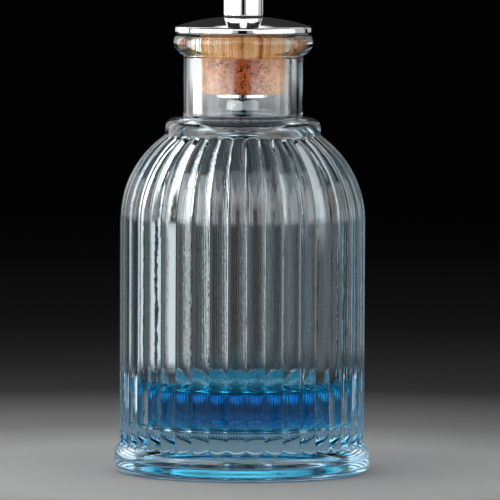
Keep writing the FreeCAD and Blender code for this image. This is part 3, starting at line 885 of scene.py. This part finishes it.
def floor_material():
    """A painted pool of light: the floor's colour is pale round the bottle and falls off to dark away
    from it, standing in for the studio's light fading into the dark.
    """
    nodes = Nodes("pale_floor")
    distance = nodes.add("ShaderNodeVectorMath")
    distance.operation = "LENGTH"
    nodes.feed(distance, "Vector", nodes.place)
    # Painted light: the floor is pale near the bottle and dark further out, a pool of light painted into
    # its colour.
    colour = nodes.ramp(distance.outputs["Value"], FLOOR_PAINTED_POOL_STOPS)
    nodes.set(Base_Color=colour, Roughness=FLOOR_ROUGHNESS, Specular_IOR_Level=0.0)
    return nodes.material


def add_floor():
    """A wide floor, a hair below the foot of the bottle."""
    mesh = bpy.data.meshes.new("floor")
    half = FLOOR_HALF_WIDTH
    corners = [(-half, -half, 0), (half, -half, 0), (half, half, 0), (-half, half, 0)]
    mesh.from_pydata(corners, [], [(0, 1, 2, 3)])
    floor = bpy.data.objects.new("floor", mesh)
    floor.location.z = -FLOOR_GAP
    mesh.materials.append(floor_material())
    bpy.context.scene.collection.objects.link(floor)


def soften(lamp):
    """Let a soft box fade towards its edges."""
    lamp.use_nodes = True
    tree = lamp.node_tree
    spot = tree.nodes.new("ShaderNodeNewGeometry")
    split = tree.nodes.new("ShaderNodeSeparateXYZ")
    both = tree.nodes.new("ShaderNodeMath")
    both.operation = "MULTIPLY"
    tree.links.new(spot.outputs["Parametric"], split.inputs["Vector"])
    for side, axis in enumerate(("X", "Y")):
        nearer = tree.nodes.new("ShaderNodeMath")
        nearer.operation = "PINGPONG"
        nearer.inputs[1].default_value = LAMP_MIDDLE_SHARE
        fade = tree.nodes.new("ShaderNodeMapRange")
        fade.interpolation_type = "SMOOTHSTEP"
        fade.inputs["From Max"].default_value = LAMP_EDGE_SHARE
        tree.links.new(split.outputs[axis], nearer.inputs[0])
        tree.links.new(nearer.outputs["Value"], fade.inputs["Value"])
        tree.links.new(fade.outputs["Result"], both.inputs[side])
    tree.links.new(both.outputs["Value"], tree.nodes["Emission"].inputs["Strength"])


def add_lamp(name, place, aim, width, height, radiance, spread=OPEN_SPREAD):
    """A soft box: a rectangle of light that fades towards its edges, unseen by the camera itself.

    A spread below half a turn is a grid in front of it; the watts allow for what the grid gathers.
    """
    lamp = bpy.data.lights.new(name, "AREA")
    lamp.shape = "RECTANGLE"
    lamp.size = width
    lamp.size_y = height
    lamp.spread = spread
    slope = math.tan(spread / 2)
    grid_gain = slope / (slope - spread / 2)
    lamp.energy = WATTS_PER_RADIANCE * radiance * width * height / grid_gain
    soften(lamp)
    holder = bpy.data.objects.new(name, lamp)
    holder.location = place
    holder.rotation_euler = (Vector(aim) - Vector(place)).to_track_quat("-Z", "Y").to_euler()
    holder.visible_camera = False
    bpy.context.scene.collection.objects.link(holder)


def add_upright(name, left_degrees, right_degrees, low, high, radiance, ring, spread=OPEN_SPREAD):
    """A soft box upright on a ring round the bottle, between two angles to the right of the viewer."""
    angle = math.radians((left_degrees + right_degrees) / 2)
    width = 2 * ring * math.tan(math.radians(right_degrees - left_degrees) / 2)
    level = (low + high) / 2
    place = (math.sin(angle) * ring, -math.cos(angle) * ring, level)
    add_lamp(name, place, (0, 0, level), width, high - low, radiance, spread)


def add_lights():
    """The soft boxes, and a faint light from all round."""
    for soft_box in SOFT_BOXES:
        add_upright(*soft_box)
    add_lamp("high_back", HIGH_BACK_PLACE, HIGH_BACK_AIM, HIGH_BACK_WIDTH, HIGH_BACK_HEIGHT,
             HIGH_BACK_RADIANCE)
    world = bpy.data.worlds.new("studio")
    world.use_nodes = True
    world.node_tree.nodes["Background"].inputs["Color"].default_value = grey(WORLD_GREY)
    bpy.context.scene.world = world


def add_camera():
    """The camera, almost straight in front of the bottle and looking down a little."""
    camera = bpy.data.cameras.new("camera")
    camera.lens = CAMERA_LENS_MM
    camera.clip_end = CAMERA_CLIP_END
    holder = bpy.data.objects.new("camera", camera)
    flat = CAMERA_DISTANCE * math.cos(CAMERA_PITCH)
    rightward = Vector((math.cos(CAMERA_TURN), math.sin(CAMERA_TURN), 0))
    aim = rightward * AIM_RIGHT + Vector((0, 0, AIM_LEVEL))
    away = Vector((math.sin(CAMERA_TURN) * flat, -math.cos(CAMERA_TURN) * flat,
                   CAMERA_DISTANCE * math.sin(CAMERA_PITCH)))
    holder.location = aim + away
    look = (-away).to_track_quat("-Z", "Y")
    holder.rotation_euler = (look @ Quaternion((0, 0, 1), CAMERA_ROLL)).to_euler()
    bpy.context.scene.collection.objects.link(holder)
    bpy.context.scene.camera = holder


glass_bottle()
bitters_fill()
cork_stopper()
cap_disc()
spout_seal()
dasher_spout()
retaining_washer()
retaining_nut()
add_floor()
add_lights()
add_camera()
bpy.context.scene.view_settings.view_transform = "Standard"
